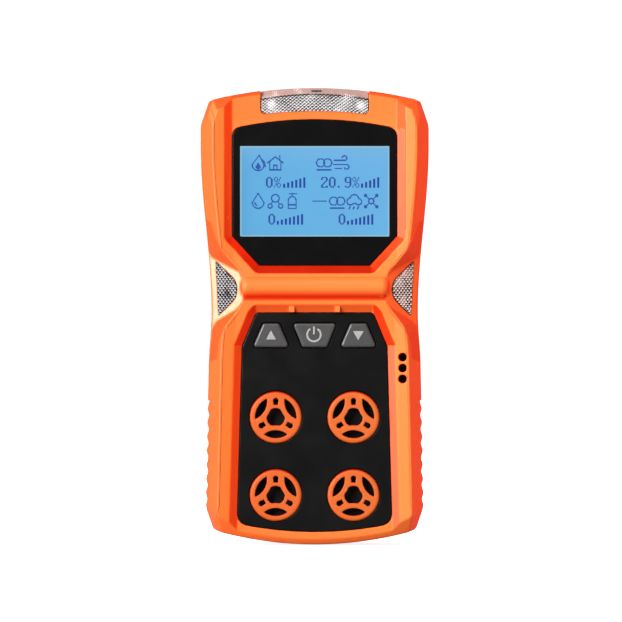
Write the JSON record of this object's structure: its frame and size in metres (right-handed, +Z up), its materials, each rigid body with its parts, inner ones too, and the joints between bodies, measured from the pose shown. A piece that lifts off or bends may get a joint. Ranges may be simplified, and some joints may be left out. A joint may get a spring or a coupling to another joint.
{
  "type": "portable gas detector",
  "caption": "Hand-held multi-gas detector: two-part case with display, keys, sensor inlets, alarm lamps and a sprung belt clip.",
  "frame": {"origin": "centre of the bounding box's underside: the middle of the foot, midway between the cross bar's crest and the clip's thumb pad", "axes": "+Z up the case from its foot, -Y out of the front face, +X to the viewer's right"},
  "size_m": [0.0652, 0.045, 0.13],
  "materials": {
    "case_orange": "satin moulded",
    "grille_orange": "satin moulded",
    "seal_rubber": "matt",
    "window_black": "polished, printed black behind with a clear middle",
    "panel_black": "satin film",
    "membrane_black": "porous film",
    "sensor_steel": "satin",
    "sensor_grey": "moulded",
    "sensor_tan": "moulded",
    "sensor_red": "moulded",
    "contact_gold": "plated",
    "board_green": "solder mask",
    "connector_white": "moulded",
    "lcd_blue": "polished",
    "backlight_white": "diffuse",
    "frame_black": "moulded",
    "ribbon_amber": "film",
    "button_grey": "silicone with a soft sheen",
    "steel_bright": "machined",
    "steel_dark": "sintered",
    "lead_red": "insulation",
    "battery_silver": "laminated foil",
    "foam_black": "closed-cell foam",
    "lamp_clear": "clear prismatic",
    "diode_yellow": "moulded",
    "clip_steel": "nickel plated, brushed",
    "label_grey": "satin film"
  },
  "bodies": {
    "case": {"front_shell": "case_orange", "back_shell": "case_orange", "case_seal": "seal_rubber", "display_window": "window_black", "control_panel": "panel_black", "sensor_grilles": "grille_orange", "filter_membranes": "membrane_black", "sensor_gaskets": "seal_rubber", "combustible_sensor": "sensor_steel", "oxygen_sensor": "sensor_grey", "sulfide_sensor": "sensor_tan", "monoxide_sensor": "sensor_red", "sensor_sockets": "contact_gold", "sensor_board": "board_green", "main_board": "board_green", "board_connector": "connector_white", "lcd_glass": "lcd_blue", "lcd_backlight": "backlight_white", "lcd_frame": "frame_black", "lcd_ribbon": "ribbon_amber", "switch_bodies": "steel_bright", "sounder": "frame_black", "sounder_gasket": "seal_rubber", "sounder_membrane": "membrane_black", "motor_can": "steel_bright", "motor_boot": "seal_rubber", "motor_leads": "lead_red", "battery": "battery_silver", "battery_board": "board_green", "battery_pad": "foam_black", "battery_leads": "lead_red", "battery_socket": "connector_white", "top_lamp_lens": "lamp_clear", "left_lamp_lens": "lamp_clear", "right_lamp_lens": "lamp_clear", "top_lamp_board": "board_green", "lamp_diodes": "diode_yellow", "case_screws": "steel_bright", "case_inserts": "contact_gold", "board_screws": "steel_bright", "charge_socket": "steel_bright", "port_cover_pin": "steel_bright", "clip_base": "clip_steel", "clip_pin": "steel_bright", "clip_spring": "steel_bright", "clip_screws": "steel_bright", "rating_plate": "label_grey"},
    "up_key": {"up_button": "button_grey", "up_plunger": "frame_black"},
    "power_key": {"power_button": "button_grey", "power_plunger": "frame_black"},
    "down_key": {"down_button": "button_grey", "down_plunger": "frame_black"},
    "motor_rotor": {"motor_shaft": "steel_bright", "motor_weight": "steel_dark"},
    "port_flap": {"port_cover": "seal_rubber"},
    "clip_arm": {"clip_lever": "clip_steel"}
  },
  "joints": [
    {"name": "up_key_press", "type": "slide", "parent": "case", "child": "up_key", "axis": [0, 1, 0], "range_m": [0, 0.0006], "stiffness_N_per_m": 2500},
    {"name": "power_key_press", "type": "slide", "parent": "case", "child": "power_key", "axis": [0, 1, 0], "range_m": [0, 0.0006], "stiffness_N_per_m": 2500},
    {"name": "down_key_press", "type": "slide", "parent": "case", "child": "down_key", "axis": [0, 1, 0], "range_m": [0, 0.0006], "stiffness_N_per_m": 2500},
    {"name": "clip_hinge", "type": "hinge", "parent": "case", "child": "clip_arm", "pos_m": [0, 0.0183, 0.089], "axis": [1, 0, 0], "range_deg": [0, 24], "stiffness_Nm_per_rad": 0.35, "deforming": ["clip_spring"]},
    {"name": "motor_spin", "type": "hinge", "parent": "case", "child": "motor_rotor", "pos_m": [-0.0234, -0.0004, 0.095], "axis": [0, 0, 1], "continuous": true},
    {"name": "port_flap_hinge", "type": "hinge", "parent": "case", "child": "port_flap", "pos_m": [0, 0.0024, 0.001], "axis": [-1, 0, 0], "range_deg": [0, 95]}
  ]
}
